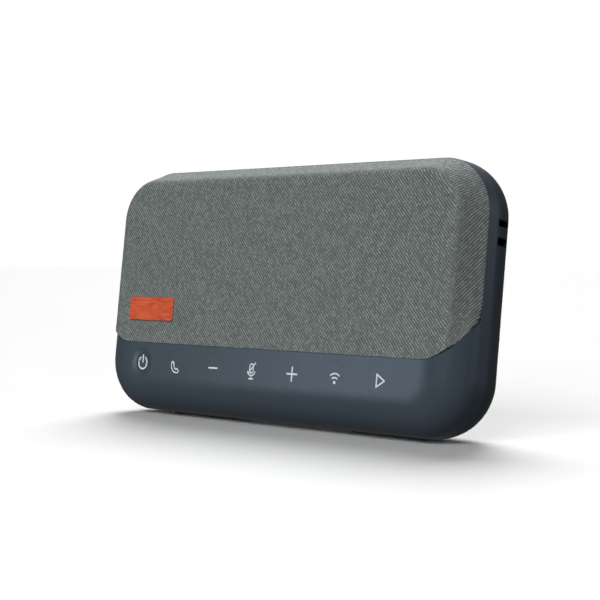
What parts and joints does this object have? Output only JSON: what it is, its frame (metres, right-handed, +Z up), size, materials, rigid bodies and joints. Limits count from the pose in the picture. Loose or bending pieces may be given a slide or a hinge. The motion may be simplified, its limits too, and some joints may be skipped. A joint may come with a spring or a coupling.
{
  "type": "conference speakerphone",
  "caption": "Battery conference speakerphone that stands on its long edge: fabric-covered speaker front, a strip of push keys below it, and a rounded two-part casing.",
  "frame": {"origin": "middle of the footprint box at floor level", "axes": "+X along the length to the listener's right, -Y towards the listener, +Z up; the front leans back by seven degrees"},
  "size_m": [0.182, 0.0418, 0.0967],
  "materials": {
    "navy_shell": "satin moulded, fine grain, dark blue-grey",
    "black_shell": "satin moulded, fine grain, near-black blue-grey",
    "navy_key": "satin moulded, as the strip round it",
    "icon_print": "matt light grey-blue inlay",
    "grille_fabric": "woven twill, mixed grey yarns",
    "tag_fabric": "woven tape, orange-red",
    "rubber": "matt black",
    "black_plastic": "matt black",
    "screw_steel": "zinc plated",
    "socket_steel": "plain stainless, black tongue inside",
    "magnet_steel": "nickel plated",
    "driver_metal": "black paint",
    "cone_paper": "coated paper",
    "circuit_board": "green solder resist",
    "chip_black": "moulded chips and a shield can",
    "lamp": "white lamp packages",
    "flex_film": "amber film",
    "cell_wrap": "blue shrink wrap",
    "lead_red": "insulated wire",
    "lead_black": "insulated wire"
  },
  "bodies": {
    "casing": {"front_housing": "navy_shell", "rear_cover": "black_shell", "case_gasket": "rubber", "case_screws": "screw_steel", "rear_pad": "rubber", "stand_foot_left": "rubber", "stand_foot_right": "rubber", "grille_frame": "black_plastic", "grille_fabric": "grille_fabric", "fabric_tag": "tag_fabric", "key_board": "circuit_board", "key_domes": "screw_steel", "key_lamps": "lamp", "key_board_screws": "screw_steel", "key_flex": "flex_film", "sound_box": "black_plastic", "sound_box_gasket": "rubber", "sound_box_screws": "screw_steel", "driver_basket": "driver_metal", "driver_magnet": "magnet_steel", "driver_screws": "screw_steel", "driver_lead": "lead_black", "radiator_frame_left": "driver_metal", "radiator_frame_right": "driver_metal", "main_board": "circuit_board", "main_board_parts": "chip_black", "main_board_screws": "screw_steel", "battery_cell": "cell_wrap", "battery_cradle": "black_plastic", "battery_lead": "lead_red", "usb_socket": "socket_steel", "usb_board": "circuit_board", "usb_board_screws": "screw_steel", "mic_board_left": "circuit_board", "mic_board_right": "circuit_board", "mic_boot_left": "rubber", "mic_boot_right": "rubber"},
    "driver_moving": {"driver_cone": "cone_paper", "driver_surround": "rubber", "driver_dust_cap": "cone_paper"},
    "radiator_moving_left": {"radiator_plate_left": "cone_paper", "radiator_surround_left": "rubber"},
    "radiator_moving_right": {"radiator_plate_right": "cone_paper", "radiator_surround_right": "rubber"},
    "button_power": {"key_power": "navy_key", "icon_power": "icon_print"},
    "button_call": {"key_call": "navy_key", "icon_call": "icon_print"},
    "button_volume_down": {"key_volume_down": "navy_key", "icon_volume_down": "icon_print"},
    "button_microphone": {"key_microphone": "navy_key", "icon_microphone": "icon_print"},
    "button_volume_up": {"key_volume_up": "navy_key", "icon_volume_up": "icon_print"},
    "button_wireless": {"key_wireless": "navy_key", "icon_wireless": "icon_print"},
    "button_play": {"key_play": "navy_key", "icon_play": "icon_print"}
  },
  "joints": [
    {"name": "power_press", "type": "slide", "parent": "casing", "child": "button_power", "axis": [0, 0.9925, -0.1219], "range_m": [0, 0.0005], "stiffness_N_per_m": 1500},
    {"name": "call_press", "type": "slide", "parent": "casing", "child": "button_call", "axis": [0, 0.9925, -0.1219], "range_m": [0, 0.0005], "stiffness_N_per_m": 1500},
    {"name": "volume_down_press", "type": "slide", "parent": "casing", "child": "button_volume_down", "axis": [0, 0.9925, -0.1219], "range_m": [0, 0.0005], "stiffness_N_per_m": 1500},
    {"name": "microphone_press", "type": "slide", "parent": "casing", "child": "button_microphone", "axis": [0, 0.9925, -0.1219], "range_m": [0, 0.0005], "stiffness_N_per_m": 1500},
    {"name": "volume_up_press", "type": "slide", "parent": "casing", "child": "button_volume_up", "axis": [0, 0.9925, -0.1219], "range_m": [0, 0.0005], "stiffness_N_per_m": 1500},
    {"name": "wireless_press", "type": "slide", "parent": "casing", "child": "button_wireless", "axis": [0, 0.9925, -0.1219], "range_m": [0, 0.0005], "stiffness_N_per_m": 1500},
    {"name": "play_press", "type": "slide", "parent": "casing", "child": "button_play", "axis": [0, 0.9925, -0.1219], "range_m": [0, 0.0005], "stiffness_N_per_m": 1500},
    {"name": "driver_stroke", "type": "slide", "parent": "casing", "child": "driver_moving", "axis": [0, 0.9925, -0.1219], "range_m": [-0.001, 0.001], "stiffness_N_per_m": 1500},
    {"name": "radiator_stroke_left", "type": "slide", "parent": "casing", "child": "radiator_moving_left", "axis": [0, 0.9925, -0.1219], "range_m": [-0.0012, 0.0012], "stiffness_N_per_m": 1000},
    {"name": "radiator_stroke_right", "type": "slide", "parent": "casing", "child": "radiator_moving_right", "axis": [0, 0.9925, -0.1219], "range_m": [-0.0012, 0.0012], "stiffness_N_per_m": 1000}
  ]
}
